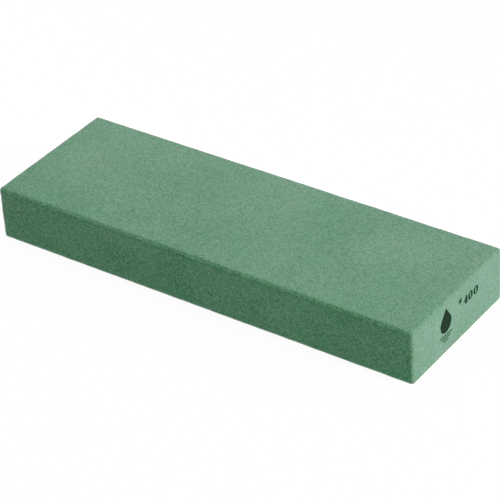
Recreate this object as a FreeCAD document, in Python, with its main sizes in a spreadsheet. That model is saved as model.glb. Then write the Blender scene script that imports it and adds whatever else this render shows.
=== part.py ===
import FreeCAD, Part

import math
import os

import Sketcher

# A bench whetstone: one block of bonded abrasive, printed in ink on one end with its grit grade, a plain
# water-drop mark and three short lines under the mark.
# Millimetres. +X runs along the block towards the printed end, +Y across it and +Z up. The origin is the
# middle of the face that the block rests on.

CELLS = [
    ("block_length", 210.0),
    ("block_width", 70.0),
    ("block_thickness", 25.0),
    ("edge_chamfer", 1.0),      # leg of the bevel on the top and the upright edges
    ("base_chamfer", 0.5),      # leg of the smaller bevel round the resting face
    ("ink_thickness", 0.05),
    ("bold_pen_width", 1.45),   # upright strokes of the digits
    ("pen_width", 0.6),         # their level and slanting strokes
    ("fine_pen_width", 0.62),   # stroke of the number sign and of the lines
    ("digit_height", 4.1),
    ("digit_base", 14.7),       # foot of the digits above the resting face
    ("four_left", 4.4),         # left side of the 4, across the end face
    ("four_width", 3.3),
    ("zero_left", 8.0),         # left side of the first 0
    ("zero_width", 3.7),
    ("zero_pitch", 4.3),
    ("sign_height", 2.7),
    ("sign_width", 2.5),
    ("sign_left", 0.5),
    ("sign_base", 17.3),
    ("drop_radius", 4.3),
    ("drop_centre_y", -9.4),
    ("drop_centre_z", 14.4),
    ("drop_tip_z", 22.0),
    ("line_top_z", 8.8),
    ("line_pitch", 1.35),
    ("line_length", 9.6),       # the longest line; each one below is shorter by line_step
    ("line_step", 2.8),
]
LINE_COUNT = 3
STEM_SHARE = 0.66       # where the upright of the 4 stands, as a share of its width
FOOT_SHARE = 0.27       # how far the foot of the 4 reaches each side of its upright, as a share of its width
CROSSBAR_SHARE = 0.34   # height of the crossbar of the 4, as a share of its height
SIGN_BAR_SHARES = (0.28, 0.72)
SIGN_LEAN = 0.12        # how far the number sign's uprights lean, as a share of its width
SAME_PLACE = 1e-6


class Size:
    """A length that knows its value and the sheet expression that drives it."""

    def __init__(self, value, text):
        self.value = value
        self.text = text

    def _join(self, other, sign, value):
        text = other.text if isinstance(other, Size) else repr(other)
        return Size(value, f"({self.text} {sign} {text})")

    def __add__(self, other):
        return self._join(other, "+", self.value + other.value)

    def __sub__(self, other):
        return self._join(other, "-", self.value - other.value)

    def __mul__(self, factor):
        return self._join(factor, "*", self.value * factor)


def make_sheet(doc):
    """The spreadsheet of driving dimensions, and the same sizes by name for the functions below."""
    sheet = doc.addObject("Spreadsheet::Sheet", "Dimensions")
    sizes = {}
    for row, (alias, value) in enumerate(CELLS, start=1):
        sheet.set(f"A{row}", alias)
        sheet.set(f"B{row}", str(value))
        sheet.setAlias(f"B{row}", alias)
        sizes[alias] = Size(value, f"Dimensions.{alias}")
    doc.recompute()
    return sizes


def origin_plane(body, role):
    return next(plane for plane in body.Origin.OriginFeatures if plane.Role == role)


def new_body(doc, label):
    body = doc.addObject("PartDesign::Body", label)
    body.Label = label
    return body


def drive(sketch, constraint, size):
    """Adds a dimension to a sketch and binds it to the sheet."""
    index = sketch.addConstraint(constraint)
    sketch.setExpression(f"Constraints[{index}]", size.text)


def drive_point(sketch, geometry, point, across, up):
    """Holds a point at the given distances from the sketch's origin, whichever side of it they lie."""
    for kind, size in (("DistanceX", across), ("DistanceY", up)):
        constraint = Sketcher.Constraint(kind, -1, 1, geometry, point, size.value)
        drive(sketch, constraint, size)


def make_block(doc, sizes):
    """The abrasive: a rectangular block with every edge bevelled, less so round the resting face."""
    body = new_body(doc, "abrasive_block")
    sketch = body.newObject("Sketcher::SketchObject", "block_outline")
    sketch.AttachmentSupport = [(origin_plane(body, "XY_Plane"), "")]
    sketch.MapMode = "FlatFace"
    half_length = sizes["block_length"] * 0.5
    half_width = sizes["block_width"] * 0.5
    corners = [
        FreeCAD.Vector(side_x * half_length.value, side_y * half_width.value)
        for side_x, side_y in ((-1, -1), (1, -1), (1, 1), (-1, 1))
    ]
    for start, end in zip(corners, corners[1:] + corners[:1]):
        sketch.addGeometry(Part.LineSegment(start, end))
    for edge in range(4):
        sketch.addConstraint(Sketcher.Constraint("Coincident", edge, 2, (edge + 1) % 4, 1))
        direction = "Vertical" if edge % 2 else "Horizontal"
        sketch.addConstraint(Sketcher.Constraint(direction, edge))
    sketch.addConstraint(Sketcher.Constraint("Symmetric", 0, 1, 2, 1, -1, 1))
    drive(sketch, Sketcher.Constraint("DistanceX", 0, 1, 0, 2, 2 * half_length.value), sizes["block_length"])
    drive(sketch, Sketcher.Constraint("DistanceY", 1, 1, 1, 2, 2 * half_width.value), sizes["block_width"])

    pad = body.newObject("PartDesign::Pad", "block_pad")
    pad.Profile = sketch
    pad.setExpression("Length", sizes["block_thickness"].text)
    doc.recompute()

    edge_bevel = body.newObject("PartDesign::Chamfer", "edge_bevel")
    edge_bevel.Base = (pad, edges_above_base(pad))
    edge_bevel.setExpression("Size", sizes["edge_chamfer"].text)
    doc.recompute()

    base_bevel = body.newObject("PartDesign::Chamfer", "base_bevel")
    base_bevel.Base = (edge_bevel, edges_round_base(edge_bevel))
    base_bevel.setExpression("Size", sizes["base_chamfer"].text)
    body.Tip = base_bevel
    return body


def edge_names(feature, wanted):
    return [f"Edge{number}" for number, edge in enumerate(feature.Shape.Edges, start=1) if wanted(edge)]


def edges_above_base(feature):
    """The upright edges and those of the top face."""
    return edge_names(feature, lambda edge: edge.BoundBox.ZMax > SAME_PLACE)


def edges_round_base(feature):
    return edge_names(feature, lambda edge: edge.BoundBox.ZMax < SAME_PLACE)


def end_face_sketch(body, name, sizes):
    """A sketch on the printed end: its first axis runs across the block and its second one up."""
    sketch = body.newObject("Sketcher::SketchObject", name)
    sketch.AttachmentSupport = [(origin_plane(body, "YZ_Plane"), "")]
    sketch.MapMode = "FlatFace"
    sketch.setExpression("AttachmentOffset.Base.z", (sizes["block_length"] * 0.5).text)
    return sketch


def print_pad(body, sketch, sizes):
    """Ink of even thickness over a sketch's outlines."""
    pad = body.newObject("PartDesign::Pad", f"{sketch.Name}_ink")
    pad.Profile = sketch
    pad.setExpression("Length", sizes["ink_thickness"].text)
    body.Tip = pad


def add_stroke(sketch, start, end, radius):
    """The outline of a round-ended pen stroke between two points, each given as (across, up)."""
    ends = [FreeCAD.Vector(across.value, up.value) for across, up in (start, end)]
    heading = math.atan2(ends[1].y - ends[0].y, ends[1].x - ends[0].x)
    quarter = math.pi / 2
    first_cap, second_cap = [
        sketch.addGeometry(
            Part.ArcOfCircle(Part.Circle(centre, FreeCAD.Vector(0, 0, 1), radius.value), turn, turn + 2 * quarter)
        )
        for centre, turn in ((ends[0], heading + quarter), (ends[1], heading - quarter))
    ]
    aside = FreeCAD.Vector(-math.sin(heading), math.cos(heading)) * radius.value
    right_side = sketch.addGeometry(Part.LineSegment(ends[0] - aside, ends[1] - aside))
    left_side = sketch.addGeometry(Part.LineSegment(ends[1] + aside, ends[0] + aside))
    sketch.addConstraint(Sketcher.Constraint("Tangent", first_cap, 2, right_side, 1))
    sketch.addConstraint(Sketcher.Constraint("Tangent", right_side, 2, second_cap, 1))
    sketch.addConstraint(Sketcher.Constraint("Tangent", second_cap, 2, left_side, 1))
    sketch.addConstraint(Sketcher.Constraint("Tangent", left_side, 2, first_cap, 1))
    drive(sketch, Sketcher.Constraint("Radius", first_cap, radius.value), radius)
    drive_point(sketch, first_cap, 3, *start)
    drive_point(sketch, second_cap, 3, *end)


def add_zero(sketch, left, sizes):
    """A 0: one round-ended outline inside another, with bold sides and a thinner top and foot."""
    outer_radius = sizes["zero_width"] * 0.5
    inner_radius = outer_radius - sizes["bold_pen_width"]
    top = sizes["digit_base"] + sizes["digit_height"]
    centre = left + outer_radius
    for radius, margin in ((outer_radius, outer_radius), (inner_radius, inner_radius + sizes["pen_width"])):
        add_stroke(sketch, (centre, sizes["digit_base"] + margin), (centre, top - margin), radius)


def make_grit_number(doc, sizes):
    """The grade, a number sign and 400, in plain round-ended strokes. Strokes that cross are in separate pads."""
    body = new_body(doc, "grit_number_print")
    bold_pen = sizes["bold_pen_width"] * 0.5
    pen = sizes["pen_width"] * 0.5
    fine_pen = sizes["fine_pen_width"] * 0.5
    sign_left = sizes["sign_left"] + fine_pen
    sign_right = sizes["sign_left"] + sizes["sign_width"] - fine_pen
    sign_low = sizes["sign_base"] + fine_pen
    sign_high = sizes["sign_base"] + sizes["sign_height"] - fine_pen
    lean = sizes["sign_width"] * SIGN_LEAN
    digit_top = sizes["digit_base"] + sizes["digit_height"]
    stem = sizes["four_left"] + sizes["four_width"] * STEM_SHARE
    foot_reach = sizes["four_width"] * FOOT_SHARE
    foot = sizes["digit_base"] + pen
    crossbar = sizes["digit_base"] + sizes["digit_height"] * CROSSBAR_SHARE
    crossbar_left = sizes["four_left"] + pen
    crossbar_right = sizes["four_left"] + sizes["four_width"] - pen

    uprights = end_face_sketch(body, "number_uprights", sizes)
    for share in SIGN_BAR_SHARES:
        middle = sizes["sign_left"] + sizes["sign_width"] * share
        add_stroke(uprights, (middle - lean, sign_low), (middle + lean, sign_high), fine_pen)
    add_stroke(uprights, (stem, sizes["digit_base"] + bold_pen), (stem, digit_top - bold_pen), bold_pen)
    for place in (0, 1):
        add_zero(uprights, sizes["zero_left"] + sizes["zero_pitch"] * place, sizes)
    print_pad(body, uprights, sizes)

    crossbars = end_face_sketch(body, "number_crossbars", sizes)
    for share in SIGN_BAR_SHARES:
        level = sizes["sign_base"] + sizes["sign_height"] * share
        add_stroke(crossbars, (sign_left, level), (sign_right, level), fine_pen)
    add_stroke(crossbars, (crossbar_left, crossbar), (crossbar_right, crossbar), pen)
    add_stroke(crossbars, (stem - foot_reach, foot), (stem + foot_reach, foot), pen)
    print_pad(body, crossbars, sizes)

    slant = end_face_sketch(body, "number_slant", sizes)
    add_stroke(slant, (crossbar_left, crossbar), (stem, digit_top - pen), pen)
    print_pad(body, slant, sizes)
    return body


def make_water_drop(doc, sizes):
    """The mark: a drop, round below and drawn up to a point by two straight flanks."""
    body = new_body(doc, "water_drop_print")
    sketch = end_face_sketch(body, "drop_outline", sizes)
    centre = FreeCAD.Vector(sizes["drop_centre_y"].value, sizes["drop_centre_z"].value)
    tip = FreeCAD.Vector(centre.x, sizes["drop_tip_z"].value)
    radius = sizes["drop_radius"]
    touch = math.asin(radius.value / (tip.y - centre.y))
    circle = Part.Circle(centre, FreeCAD.Vector(0, 0, 1), radius.value)
    bowl = sketch.addGeometry(Part.ArcOfCircle(circle, math.pi - touch, 2 * math.pi + touch))
    left_touch = centre + FreeCAD.Vector(-math.cos(touch), math.sin(touch)) * radius.value
    right_touch = centre + FreeCAD.Vector(math.cos(touch), math.sin(touch)) * radius.value
    right_flank = sketch.addGeometry(Part.LineSegment(right_touch, tip))
    left_flank = sketch.addGeometry(Part.LineSegment(tip, left_touch))
    sketch.addConstraint(Sketcher.Constraint("Tangent", bowl, 2, right_flank, 1))
    sketch.addConstraint(Sketcher.Constraint("Tangent", left_flank, 2, bowl, 1))
    sketch.addConstraint(Sketcher.Constraint("Coincident", right_flank, 2, left_flank, 1))
    drive(sketch, Sketcher.Constraint("Radius", bowl, radius.value), radius)
    drive_point(sketch, bowl, 3, sizes["drop_centre_y"], sizes["drop_centre_z"])
    drive_point(sketch, right_flank, 2, sizes["drop_centre_y"], sizes["drop_tip_z"])
    print_pad(body, sketch, sizes)
    return body


def make_water_lines(doc, sizes):
    """Lines under the drop, one below another and each shorter than the last, centred on the drop."""
    body = new_body(doc, "water_line_print")
    sketch = end_face_sketch(body, "line_outlines", sizes)
    pen = sizes["fine_pen_width"] * 0.5
    for line in range(LINE_COUNT):
        half_length = (sizes["line_length"] - sizes["line_step"] * line) * 0.5 - pen
        level = sizes["line_top_z"] - sizes["line_pitch"] * line
        left = (sizes["drop_centre_y"] - half_length, level)
        right = (sizes["drop_centre_y"] + half_length, level)
        add_stroke(sketch, left, right, pen)
    print_pad(body, sketch, sizes)
    return body


def check_document(doc, sub_parts):
    """Stops the build when an object failed to recompute or a sub-part has no sound shape."""
    for item in doc.Objects:
        faults = {"Invalid", "Error"}.intersection(item.State)
        if faults:
            raise RuntimeError(f"{item.Name} is {sorted(faults)}")
    for part in sub_parts:
        if part.Shape.isNull() or not part.Shape.isValid() or not part.Shape.Solids:
            raise RuntimeError(f"{part.Label} has no valid solid")


def main():
    doc = FreeCAD.newDocument("whetstone")
    sizes = make_sheet(doc)
    makers = (make_block, make_grit_number, make_water_drop, make_water_lines)
    sub_parts = [make(doc, sizes) for make in makers]
    doc.recompute()
    check_document(doc, sub_parts)
    os.makedirs("parts", exist_ok=True)
    for part in sub_parts:
        box = part.Shape.BoundBox
        print(f"{part.Label}: {len(part.Shape.Solids)} solids, {part.Shape.Volume:.3f} mm3, "
              f"x {box.XMin:.2f}..{box.XMax:.2f} y {box.YMin:.2f}..{box.YMax:.2f} z {box.ZMin:.2f}..{box.ZMax:.2f}")
        part.Shape.exportStep(f"parts/{part.Label}.step")


main()
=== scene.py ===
import math

import bmesh
import bpy
import numpy as np
from mathutils import Matrix, Vector, noise


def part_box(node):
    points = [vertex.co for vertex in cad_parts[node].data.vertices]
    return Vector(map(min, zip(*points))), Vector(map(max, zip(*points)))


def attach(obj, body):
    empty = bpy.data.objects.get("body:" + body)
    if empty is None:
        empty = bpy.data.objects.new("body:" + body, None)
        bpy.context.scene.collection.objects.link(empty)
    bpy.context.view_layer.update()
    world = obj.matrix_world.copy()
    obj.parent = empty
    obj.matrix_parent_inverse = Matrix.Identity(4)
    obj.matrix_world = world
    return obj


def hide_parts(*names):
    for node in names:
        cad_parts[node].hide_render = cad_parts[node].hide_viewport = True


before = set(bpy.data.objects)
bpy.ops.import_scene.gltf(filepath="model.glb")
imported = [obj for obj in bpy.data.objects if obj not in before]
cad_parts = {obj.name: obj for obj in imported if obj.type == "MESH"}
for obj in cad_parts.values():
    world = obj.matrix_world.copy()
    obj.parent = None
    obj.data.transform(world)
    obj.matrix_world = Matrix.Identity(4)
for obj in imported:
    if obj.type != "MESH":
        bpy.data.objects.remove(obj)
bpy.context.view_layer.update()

# A bench whetstone lying on a pale floor: one block of bonded abrasive with bevelled, slightly worn edges,
# printed in ink on its +X end. Metres, in the CAD frame.

MM = 0.001
BLOCK_LOW, BLOCK_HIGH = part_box("abrasive_block")
BLOCK_CENTRE = (BLOCK_LOW + BLOCK_HIGH) / 2
HALF_SIZE = np.array((BLOCK_HIGH - BLOCK_LOW) / 2)


# ---- noise on the meshes ----

NOISE_SPREAD = 1.6                      # brings Blender's noise to about -1 to 1
NOISE_OFFSETS = (7.31, 3.17, 5.83)      # from one seed's place in the noise to the next one's, in features


def wander(points, size, seed):
    """Smooth noise from about -1 to 1 at each point, with features about as large as size."""
    offset = Vector([seed * step for step in NOISE_OFFSETS])
    return np.array([noise.noise(Vector(point) / size + offset) for point in points]) * NOISE_SPREAD


def layered(points, layers):
    """Noise of several sizes added up. Each layer has its height, the size of its features and a seed."""
    return sum(height * wander(points, size, seed) for height, size, seed in layers)


# ---- the block's mesh ----

FRONT_BEVEL = 1.4 * MM          # leg of the bevel on the top's long edge at -Y, which is rubbed the most
BACK_BEVEL = 0.8 * MM           # the same at +Y
EDGE_BEVEL = 1.0 * MM           # leg of the bevels on the top's short edges and on the upright edges
BASE_BEVEL = 0.5 * MM           # leg of the bevels round the resting face
CORNER_CUT = 1.75 * MM          # a top corner is cut off where its depths under three faces add up to less
KNOCKED_CORNER_CUT = 2.3 * MM   # the same for the one that is rubbed the most, at +X and -Y
BASE_CORNER_CUT = 0.95 * MM     # the same for the corners of the resting face
BLEND = 0.15 * MM               # softness where two faces meet
BEVEL_WOBBLE = ((0.10, 4.5 * MM, 1), (0.08, 19 * MM, 2))    # layers of noise, as a share of the leg
BASE_WOBBLE_GAIN = 2            # the narrow bevels of the resting face vary by this much more
FACE_RELIEF = ((0.010 * MM, 1.9 * MM, 3), (0.008 * MM, 7 * MM, 4), (0.006 * MM, 45 * MM, 5))
FACE_DEPTH = sum(height for height, _, _ in FACE_RELIEF)    # their mean depth, so no peak leaves the CAD's box

CHIP_COUNT = 24
CHIP_SEED = 400
CHIP_SHARES = (0.62, 0.24, 0.14)    # of the chips, on the edges along X, Y and Z
CHIP_RADII = (0.4 * MM, 1.3 * MM)
CHIP_DEPTHS = (0.04 * MM, 0.13 * MM)
SMALL_CHIP = 0.8 * MM           # a chip with a smaller radius than this is also shallower,
SMALL_CHIP_SHARE = 0.6          # by this factor

BAND = 2.2 * MM                 # width of the finely divided strip along every edge
BAND_PITCH = 0.26 * MM          # spacing of the mesh's points in that strip
LENGTH_PITCH = 0.72 * MM        # the same between the strips, along X
FACE_PITCH = 0.95 * MM          # the same along Y and Z
SURFACE_STEPS = 22              # halvings that find the surface to within a nanometre

FRONT_EDGE_PAINTED_SHADING = np.array((1.16, 1.15, 1.11))  # painted light and shade: the colour on the bevels is raised or lowered for how the light falls across each edge
END_EDGE_PAINTED_SHADING = np.array((0.96, 0.99, 0.92))
UPRIGHT_EDGE_PAINTED_SHADING = np.array((1.10, 0.95, 0.93))
PAINTED_SHADING_FULL = 0.84                # up to this depth under both its faces, in legs, an edge has its full painted light and shade,
PAINTED_SHADING_END = 1.24                 # and from this depth not at all
PAINTED_SHADING_WANDER = ((0.15 * MM, 3 * MM, 6),)         # layers of noise in that depth


def ticks(half, pitch):
    """Grid positions from -half to half: close together in a band at both ends, further apart between."""
    band = np.arange(0, BAND, BAND_PITCH)
    inner = np.linspace(-half + BAND, half - BAND, max(2, round(2 * (half - BAND) / pitch) + 1))
    return np.concatenate([-half + band, inner, (half - band)[::-1]])


def box_lattice(axes):
    """The vertices and outward quads of a box divided at the given ticks."""
    counts = [len(axis) for axis in axes]
    number = -np.ones(counts, int)
    shell = np.zeros(counts, bool)
    for axis in range(3):
        ends = [slice(None)] * 3
        ends[axis] = [0, -1]
        shell[tuple(ends)] = True
    number[shell] = np.arange(shell.sum())
    grid = np.stack(np.meshgrid(*axes, indexing="ij"), -1)
    quads = []
    for axis in range(3):
        for end in (0, -1):
            side = np.take(number, end, axis)
            loop = [side[:-1, :-1], side[1:, :-1], side[1:, 1:], side[:-1, 1:]]
            outward = (end == -1) != (axis == 1)
            quads.append(np.stack(loop if outward else loop[::-1], -1).reshape(-1, 4))
    return grid[shell], np.concatenate(quads)


def edge_spots(rng, count):
    """Random places on the block's edges, each with the two outward directions of its edge."""
    spots = []
    for _ in range(count):
        along = rng.choice(3, p=CHIP_SHARES)
        signs = rng.choice((-1, 1), 3)
        place = HALF_SIZE * signs
        place[along] = rng.uniform(-1, 1) * HALF_SIZE[along]
        spots.append((place, signs * (np.arange(3) != along)))
    return spots


def bevel_legs(points):
    """The legs of the upright bevel, the end's bevel and the long bevel that are nearest to each point."""
    low = points[:, 2] < 0
    top_long = np.where(points[:, 1] < 0, FRONT_BEVEL, BACK_BEVEL)
    return EDGE_BEVEL, np.where(low, BASE_BEVEL, EDGE_BEVEL), np.where(low, BASE_BEVEL, top_long)


class BlockShape:
    """The worn block as a gap function: negative inside, zero on the surface.

    It is made for a list of points on the CAD's box, and then asked about one point near each of them.
    All are counted from the block's centre.
    """

    def __init__(self, points):
        low = points[:, 2] < 0
        knocked = (points[:, 0] > 0) & (points[:, 1] < 0)
        upright, end, long = bevel_legs(points)
        wobble = layered(points, BEVEL_WOBBLE)
        level_wobble = wobble * np.where(low, BASE_WOBBLE_GAIN, 1)
        self.upright_bevel = upright * (1 + wobble)
        self.end_bevel = end * (1 + level_wobble)
        self.long_bevel = long * (1 + level_wobble)
        self.corner_cut = np.where(low, BASE_CORNER_CUT, np.where(knocked, KNOCKED_CORNER_CUT, CORNER_CUT))
        self.face_depth = layered(points, FACE_RELIEF) + FACE_DEPTH
        self.chips = []

    def add_chips(self, surface):
        """Small hollows along the edges, each left by a ball that dips below the surface nearest to it."""
        rng = np.random.default_rng(CHIP_SEED)
        for place, outward in edge_spots(rng, CHIP_COUNT):
            radius = rng.uniform(*CHIP_RADII)
            depth = rng.uniform(*CHIP_DEPTHS) * (SMALL_CHIP_SHARE if radius < SMALL_CHIP else 1)
            nearest = surface[np.linalg.norm(surface - place, axis=1).argmin()]
            self.chips.append((nearest + outward / math.sqrt(2) * (radius - depth), radius))

    def __call__(self, points):
        reach = np.abs(points) - HALF_SIZE
        gaps = np.stack([
            reach[:, 0] + self.face_depth,
            reach[:, 1] + self.face_depth,
            reach[:, 2] + self.face_depth,
            (reach[:, 0] + reach[:, 1] + self.upright_bevel) / math.sqrt(2),
            (reach[:, 0] + reach[:, 2] + self.end_bevel) / math.sqrt(2),
            (reach[:, 1] + reach[:, 2] + self.long_bevel) / math.sqrt(2),
            (reach.sum(1) + self.corner_cut) / math.sqrt(3),
        ])
        largest = gaps.max(0)
        gap = largest + BLEND * np.log(np.exp((gaps - largest) / BLEND).sum(0))
        for centre, radius in self.chips:
            gap = np.maximum(gap, radius - np.linalg.norm(points - centre, axis=1))
        return gap


def surface_points(shape, inner, outer):
    """Where the lines from the inner points to the outer ones leave the shape."""
    near, far = np.zeros(len(outer)), np.ones(len(outer))
    for _ in range(SURFACE_STEPS):
        middle = (near + far) / 2
        outside = shape(inner + (outer - inner) * middle[:, None]) > 0
        far = np.where(outside, middle, far)
        near = np.where(outside, near, middle)
    return inner + (outer - inner) * near[:, None]


def painted_edge_shading(points):
    """Painted light and shade on the bevels, as what the stone's colour is multiplied by at points on its
    surface: 1 on the open faces.
    """
    reach_x, reach_y, reach_z = (np.abs(points) - HALF_SIZE + layered(points, PAINTED_SHADING_WANDER)[:, None]).T
    upright, end, long = bevel_legs(points)
    at_front = points[:, 1] < 0
    painted_shading = np.ones((len(points), 3))
    for first, second, leg, colour, share in (
        (reach_y, reach_z, long, FRONT_EDGE_PAINTED_SHADING, at_front),
        (reach_x, reach_y, upright, UPRIGHT_EDGE_PAINTED_SHADING, 1),
        (reach_x, reach_z, end, END_EDGE_PAINTED_SHADING, 1),
    ):
        depth = -np.minimum(first, second) / leg
        nearness = np.clip((PAINTED_SHADING_END - depth) / (PAINTED_SHADING_END - PAINTED_SHADING_FULL), 0, 1) * share
        painted_shading += (colour - painted_shading) * nearness[:, None]
    return painted_shading


def block_mesh():
    axes = [ticks(half, pitch) for half, pitch in zip(HALF_SIZE, (LENGTH_PITCH, FACE_PITCH, FACE_PITCH))]
    outer, quads = box_lattice(axes)
    inner = np.clip(outer, BAND - HALF_SIZE, HALF_SIZE - BAND)
    shape = BlockShape(outer)
    shape.add_chips(surface_points(shape, inner, outer))
    points = surface_points(shape, inner, outer)
    mesh = bpy.data.meshes.new("whetstone_block")
    mesh.from_pydata((points + np.array(BLOCK_CENTRE)).tolist(), [], quads.tolist())
    # painted light and shade on the bevels, kept on the mesh for the material
    painted_shading = mesh.attributes.new("painted_edge_shading", "FLOAT_VECTOR", "POINT")
    painted_shading.data.foreach_set("vector", painted_edge_shading(points).astype(np.float32).ravel())
    mesh.shade_smooth()
    return mesh


# ---- the print's meshes ----

INK_FRONT = BLOCK_HIGH.x + 0.012 * MM   # the film's open face, just proud of the stone
INK_BACK = BLOCK_HIGH.x - 0.12 * MM     # inside the stone
INK_CREEP = 0.07 * MM                   # how far its outline strays between the grains
INK_CREEP_SIZE = 0.35 * MM              # size of the features of that noise
INK_SEED = 1                            # Blender's vector noise differs from run to run unless a seed is set
INK_EDGE_PITCH = 0.10 * MM              # spacing of the outline's points
WELD_DISTANCE = 0.001 * MM


def ink_mesh(node):
    """A printed mark as a thin closed film. Its outline is the CAD's, made ragged as on a grainy surface."""
    noise.seed_set(INK_SEED)
    film = bmesh.new()
    film.from_mesh(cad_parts[node].data)
    film.transform(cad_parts[node].matrix_world)
    bmesh.ops.delete(film, geom=[face for face in film.faces if face.normal.x < 0.5], context="FACES")
    bmesh.ops.remove_doubles(film, verts=film.verts, dist=WELD_DISTANCE)
    for edge in [edge for edge in film.edges if edge.is_boundary]:
        cuts = int(edge.calc_length() / INK_EDGE_PITCH)
        if cuts:
            bmesh.ops.subdivide_edges(film, edges=[edge], cuts=cuts)
    for vertex in film.verts:
        creep = noise.noise_vector(vertex.co / INK_CREEP_SIZE) * INK_CREEP
        vertex.co = (INK_FRONT, vertex.co.y + creep.y, vertex.co.z + creep.z)
    bmesh.ops.triangulate(film, faces=film.faces, ngon_method="BEAUTY")
    copied = bmesh.ops.extrude_face_region(film, geom=film.faces[:], use_keep_orig=True)["geom"]
    for vertex in copied:
        if isinstance(vertex, bmesh.types.BMVert):
            vertex.co.x = INK_BACK
    bmesh.ops.recalc_face_normals(film, faces=film.faces)
    mesh = bpy.data.meshes.new(f"{node}_film")
    film.to_mesh(mesh)
    film.free()
    return mesh


def new_piece(name, mesh, material, node):
    """Puts a mesh in the scene in place of a CAD node."""
    piece = bpy.data.objects.new(name, mesh)
    bpy.context.scene.collection.objects.link(piece)
    mesh.materials.clear()
    mesh.materials.append(material)
    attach(piece, "root")
    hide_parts(node)


# ---- materials ----

class Graph:
    """A material's node tree, built with one short call per node."""

    def __init__(self, name):
        self.material = bpy.data.materials.new(name)
        self.material.use_nodes = True
        self.tree = self.material.node_tree
        self.tree.nodes.clear()

    def add(self, kind, inputs=None, **settings):
        node = self.tree.nodes.new(kind)
        for name, value in settings.items():
            setattr(node, name, value)
        for name, value in (inputs or {}).items():
            self.feed(node.inputs[name], value)
        return node

    def feed(self, socket, value):
        """Links another node's output to a socket, or sets the socket to a plain value."""
        if isinstance(value, bpy.types.NodeSocket):
            self.tree.links.new(value, socket)
        else:
            socket.default_value = value

    def math(self, operation, first, second=0.0, third=0.0):
        inputs = {0: first, 1: second, 2: third}
        return self.add("ShaderNodeMath", inputs, operation=operation).outputs[0]

    def remap(self, value, low, high, new_low, new_high):
        """Value's range low to high, drawn out to new_low to new_high and cut off at both ends."""
        inputs = {"Value": value, "From Min": low, "From Max": high, "To Min": new_low, "To Max": new_high}
        return self.add("ShaderNodeMapRange", inputs).outputs[0]

    def noise(self, place, size, detail=2.0, roughness=0.5):
        """Smooth noise around 0.5, with its largest features about as large as size."""
        inputs = {"Vector": place, "Scale": 1 / size, "Detail": detail, "Roughness": roughness}
        return self.add("ShaderNodeTexNoise", inputs).outputs[0]

    def cells(self, place, size):
        """A random number from 0 to 1 for each cell, and the distance to the cell's heart in cell sizes."""
        node = self.add("ShaderNodeTexVoronoi", {"Vector": place, "Scale": 1 / size})
        chance = self.add("ShaderNodeSeparateColor", {0: node.outputs["Color"]}).outputs[0]
        return chance, node.outputs["Distance"]

    def mix(self, share, first, second):
        """Two colours mixed: the first where share is 0, the second where it is 1."""
        node = self.add("ShaderNodeMix", data_type="RGBA")
        for socket, value in zip((s for s in node.inputs if s.enabled), (share, first, second)):
            self.feed(socket, value)
        return next(s for s in node.outputs if s.enabled)

    def scale(self, colour, factor):
        return self.add("ShaderNodeVectorMath", {0: colour, "Scale": factor}, operation="SCALE").outputs[0]

    def finish(self, shader):
        self.add("ShaderNodeOutputMaterial", {"Surface": shader.outputs[0]})
        return self.material


GRAIN_SIZE = 0.40 * MM
GRAIN_CONTRAST = 0.70
CLUSTER_SIZE = 0.85 * MM
CLUSTER_CONTRAST = 0.04
CLOUD_NOISE = (34 * MM, 6.0, 0.45)      # largest size, detail and roughness
CLOUD_CONTRAST = 0.38
PORES = ((1.5 * MM, 0.28 * MM), (3.1 * MM, 0.60 * MM))  # spacing and largest radius
POROUS_FROM = 0.8           # cells with a random number above this hold a pore
SMALLEST_PORE = 0.02        # radius, in cell sizes
PORE_RIM = 0.6              # share of the radius from which a pore gets shallower
# painted shade in the pores: how much darker the stone's colour is in their hollows
PORE_PAINTED_SHADE = 0.50
RELIEF_SIZE = 0.5 * MM
RELIEF_STRENGTH = 0.35
RELIEF_HEIGHT = 0.02 * MM

LIVELY_GREEN = (0.110, 0.280, 0.158, 1)
GREY_GREEN = (0.151, 0.273, 0.183, 1)
PATCH_NOISE = (30 * MM, 7.0, 1.0)       # largest size, detail and roughness
LIVELY_BELOW = 0.32         # the patch noise picks the lively green below this,
GREY_ABOVE = 0.68           # and the grey one above this
GREY_DRIFT = -0.36          # what is added to the patch noise for each metre of X
STONE_ROUGHNESS = (0.50, 0.40)          # where the brightness is 0.5 and where it is 1.5
STONE_SPECULAR = 0.16

INK_BLACK = (0.009, 0.020, 0.0125, 1)
INK_THIN = (0.032, 0.066, 0.045, 1)
INK_PATCH_SIZE = 0.45 * MM
FULL_BELOW = 0.56           # the ink is full where its patch noise is below this,
THIN_ABOVE = 0.72           # and thin where it is above this
INK_ROUGHNESS = 0.75
INK_SPECULAR = 0.25


def pores(graph, place, pitch, largest):
    """1 at the heart of each pore and 0 outside. About one cell in five holds a pore, of any size."""
    chance, distance = graph.cells(place, pitch)
    radius = graph.remap(chance, POROUS_FROM, 1.0, SMALLEST_PORE, largest / pitch)
    depth = graph.remap(graph.math("DIVIDE", distance, radius), PORE_RIM, 1.0, 1, 0)
    return graph.math("MULTIPLY", depth, graph.math("GREATER_THAN", chance, POROUS_FROM))


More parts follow.
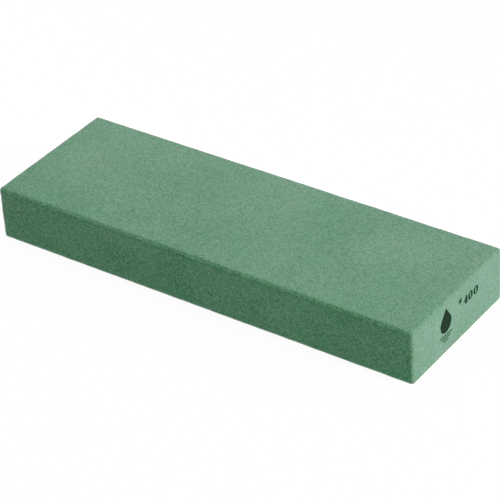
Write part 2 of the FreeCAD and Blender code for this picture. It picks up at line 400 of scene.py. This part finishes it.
def stone_surface(graph, place):
    """The abrasive's brightness around 1, grain by grain, with painted shade in its pores, and the normal of
    its uneven surface.
    """
    grain, _ = graph.cells(place, GRAIN_SIZE)
    cluster, _ = graph.cells(place, CLUSTER_SIZE)
    cloud = graph.noise(place, *CLOUD_NOISE)
    pore = graph.math("MAXIMUM", *(pores(graph, place, pitch, largest) for pitch, largest in PORES))
    light = 1 - (GRAIN_CONTRAST + CLUSTER_CONTRAST + CLOUD_CONTRAST) / 2
    for part, contrast in ((grain, GRAIN_CONTRAST), (cluster, CLUSTER_CONTRAST), (cloud, CLOUD_CONTRAST)):
        light = graph.math("MULTIPLY_ADD", part, contrast, light)
    # painted shade: the stone is darker in its pores
    light = graph.math("MULTIPLY", light, graph.math("MULTIPLY_ADD", pore, -PORE_PAINTED_SHADE, 1.0))
    relief = graph.math("SUBTRACT", graph.noise(place, RELIEF_SIZE), pore)
    bump = {"Height": relief, "Strength": RELIEF_STRENGTH, "Distance": RELIEF_HEIGHT}
    return light, graph.add("ShaderNodeBump", bump).outputs[0]


def stone_material():
    """Pale green bonded abrasive: light and dark grains, a few pores, and faint clouds of two greens, with
    painted light and shade on the bevels and painted shade in the pores.
    """
    graph = Graph("bonded_abrasive")
    place = graph.add("ShaderNodeTexCoord").outputs["Object"]
    light, normal = stone_surface(graph, place)
    along = graph.add("ShaderNodeSeparateXYZ", {0: place}).outputs["X"]
    drifted = graph.math("MULTIPLY_ADD", along, GREY_DRIFT, graph.noise(place, *PATCH_NOISE))
    green = graph.mix(graph.remap(drifted, LIVELY_BELOW, GREY_ABOVE, 0, 1), LIVELY_GREEN, GREY_GREEN)
    # painted light and shade on the bevels, read from the mesh
    painted_shading = graph.add("ShaderNodeAttribute", attribute_name="painted_edge_shading").outputs["Vector"]
    green_with_painted_shading = graph.add("ShaderNodeVectorMath", {0: green, 1: painted_shading}, operation="MULTIPLY").outputs[0]
    shader = graph.add("ShaderNodeBsdfPrincipled", {
        "Base Color": graph.scale(green_with_painted_shading, light),
        "Roughness": graph.remap(light, 0.5, 1.5, *STONE_ROUGHNESS),
        "Specular IOR Level": STONE_SPECULAR,
        "Normal": normal,
    })
    return graph.finish(shader)


def ink_material():
    """Matt green-black ink, thinner in small patches, over the same uneven surface."""
    graph = Graph("printing_ink")
    place = graph.add("ShaderNodeTexCoord").outputs["Object"]
    _, normal = stone_surface(graph, place)
    thin = graph.remap(graph.noise(place, INK_PATCH_SIZE), FULL_BELOW, THIN_ABOVE, 0, 1)
    shader = graph.add("ShaderNodeBsdfPrincipled", {
        "Base Color": graph.mix(thin, INK_BLACK, INK_THIN),
        "Roughness": INK_ROUGHNESS,
        "Specular IOR Level": INK_SPECULAR,
        "Normal": normal,
    })
    return graph.finish(shader)


# ---- floor, light and camera ----

CAMERA_AZIMUTH = 36.744     # degrees round from looking along +Y
CAMERA_ELEVATION = 34.107
CAMERA_ROLL = -3.539
CAMERA_DISTANCE = 1.01067
CAMERA_LENS = 171.48        # millimetres, as is the sensor's width
SENSOR_WIDTH = 36
CAMERA_RIGHT = 2.396 * MM   # how far the camera stands off the line to the block's middle
CAMERA_UP = -3.559 * MM


def add_camera():
    azimuth, elevation, roll = map(math.radians, (CAMERA_AZIMUTH, CAMERA_ELEVATION, CAMERA_ROLL))
    back = Vector((
        math.sin(azimuth) * math.cos(elevation),
        -math.cos(azimuth) * math.cos(elevation),
        math.sin(elevation),
    ))
    level_right = Vector((math.cos(azimuth), math.sin(azimuth), 0))
    level_up = back.cross(level_right)
    right = math.cos(roll) * level_right + math.sin(roll) * level_up
    up = back.cross(right)
    data = bpy.data.cameras.new("camera")
    data.lens = CAMERA_LENS
    data.sensor_width = SENSOR_WIDTH
    camera = bpy.data.objects.new("camera", data)
    eye = BLOCK_CENTRE + back * CAMERA_DISTANCE + right * CAMERA_RIGHT + up * CAMERA_UP
    camera.matrix_world = Matrix.Translation(eye) @ Matrix((right, up, back)).transposed().to_4x4()
    bpy.context.scene.collection.objects.link(camera)
    bpy.context.scene.camera = camera


FLOOR_SIZE = 12.0
FLOOR_GAP = 0.02 * MM       # keeps the floor and the resting face apart
FLOOR_GLOW = 0.73
FLOOR_SHADE = 0.10


def add_floor():
    """A pale floor lit from within, as a light table is, so that shadows on it stay faint."""
    half = FLOOR_SIZE / 2
    mesh = bpy.data.meshes.new("floor")
    corners = [(-half, -half, 0), (half, -half, 0), (half, half, 0), (-half, half, 0)]
    mesh.from_pydata(corners, [], [(0, 1, 2, 3)])
    floor = bpy.data.objects.new("floor", mesh)
    floor.location.z = BLOCK_LOW.z - FLOOR_GAP
    bpy.context.scene.collection.objects.link(floor)
    graph = Graph("pale_floor")
    shader = graph.add("ShaderNodeBsdfPrincipled", {
        "Base Color": (FLOOR_SHADE, FLOOR_SHADE, FLOOR_SHADE, 1),
        "Roughness": 1.0,
        "Specular IOR Level": 0.0,
        "Emission Color": (1, 1, 1, 1),
        "Emission Strength": FLOOR_GLOW,
    })
    mesh.materials.append(graph.finish(shader))


def add_softbox(name, azimuth, elevation, distance, size, power):
    """A square soft light that faces the block. Azimuth is counted from +X towards +Y, in degrees."""
    azimuth, elevation = math.radians(azimuth), math.radians(elevation)
    direction = Vector((
        math.cos(azimuth) * math.cos(elevation),
        math.sin(azimuth) * math.cos(elevation),
        math.sin(elevation),
    ))
    data = bpy.data.lights.new(name, "AREA")
    data.shape = "SQUARE"
    data.size = size
    data.energy = power
    lamp = bpy.data.objects.new(name, data)
    lamp.location = BLOCK_CENTRE + direction * distance
    lamp.rotation_euler = direction.to_track_quat("Z", "Y").to_euler()
    bpy.context.scene.collection.objects.link(lamp)


HORIZON_GLOW = 0.738
HORIZON_TOP = 4.5       # degrees up to which the wall round the floor is at its brightest
HORIZON_FADE = 12.5     # degrees above which it is dark


def add_walls():
    """Pale walls all round, dark higher up, so that a low view ends in white."""
    world = bpy.data.worlds.new("studio")
    world.use_nodes = True
    tree = world.node_tree
    background = tree.nodes["Background"]
    background.inputs["Color"].default_value = (1, 1, 1, 1)
    direction = tree.nodes.new("ShaderNodeTexCoord").outputs["Generated"]
    height = tree.nodes.new("ShaderNodeSeparateXYZ")
    fade = tree.nodes.new("ShaderNodeMapRange")
    fade.inputs["From Min"].default_value = math.sin(math.radians(HORIZON_TOP))
    fade.inputs["From Max"].default_value = math.sin(math.radians(HORIZON_FADE))
    fade.inputs["To Min"].default_value = HORIZON_GLOW
    fade.inputs["To Max"].default_value = 0.0
    tree.links.new(direction, height.inputs[0])
    tree.links.new(height.outputs["Z"], fade.inputs["Value"])
    tree.links.new(fade.outputs[0], background.inputs["Strength"])
    bpy.context.scene.world = world


MIDDLE_TONE = 0.165         # shown as it is
TONE_CONTRAST = 1.18        # above 1: the dark tones are drawn apart
TONE_SHOULDER = -0.28       # below 0: the light tones are drawn together
HIGHLIGHT_START = 0.49      # from here the tones rise to white,
WHITE_TONE = 0.77           # which they reach here
TONE_STEPS = 24
TONE_SPACING = 1.5          # above 1: the curve's points are closer together in the dark tones
COMBINED_CURVE = 3          # the one of the view's four curves that acts on all colours


def shown_tone(tone):
    stops = math.log(tone / MIDDLE_TONE)
    plain = MIDDLE_TONE * math.exp(TONE_CONTRAST * stops + TONE_SHOULDER * stops ** 2)
    rise = min(max((tone - HIGHLIGHT_START) / (WHITE_TONE - HIGHLIGHT_START), 0), 1)
    return plain + (1 - plain) * rise ** 2


def set_tone():
    """Shows the scene through a photographic curve: deep shadows, light tones held back, a clean white."""
    view = bpy.context.scene.view_settings
    view.view_transform = "Standard"
    view.use_curve_mapping = True
    curve = view.curve_mapping.curves[COMBINED_CURVE]
    for step in range(1, TONE_STEPS):
        tone = (step / TONE_STEPS) ** TONE_SPACING
        curve.points.new(tone, shown_tone(tone))
    view.curve_mapping.update()


# ---- the scene ----

new_piece("whetstone_block", block_mesh(), stone_material(), "abrasive_block")
ink = ink_material()
for node in ("grit_number_print", "water_drop_print", "water_line_print"):
    new_piece(f"{node}_film", ink_mesh(node), ink, node)

add_floor()
add_softbox("key", azimuth=13, elevation=27, distance=2.4, size=1.0, power=54.3)
add_softbox("near_key", azimuth=25, elevation=23, distance=1.4, size=0.7, power=6.8)
add_softbox("back", azimuth=95, elevation=32, distance=0.5, size=0.3, power=0.66)
add_softbox("back_left", azimuth=130, elevation=26, distance=0.36, size=0.2, power=0.17)
add_softbox("left", azimuth=180, elevation=60, distance=1.2, size=0.8, power=4.9)
add_softbox("front", azimuth=-150, elevation=40, distance=1.5, size=1.2, power=2.4)
add_walls()
add_camera()
set_tone()
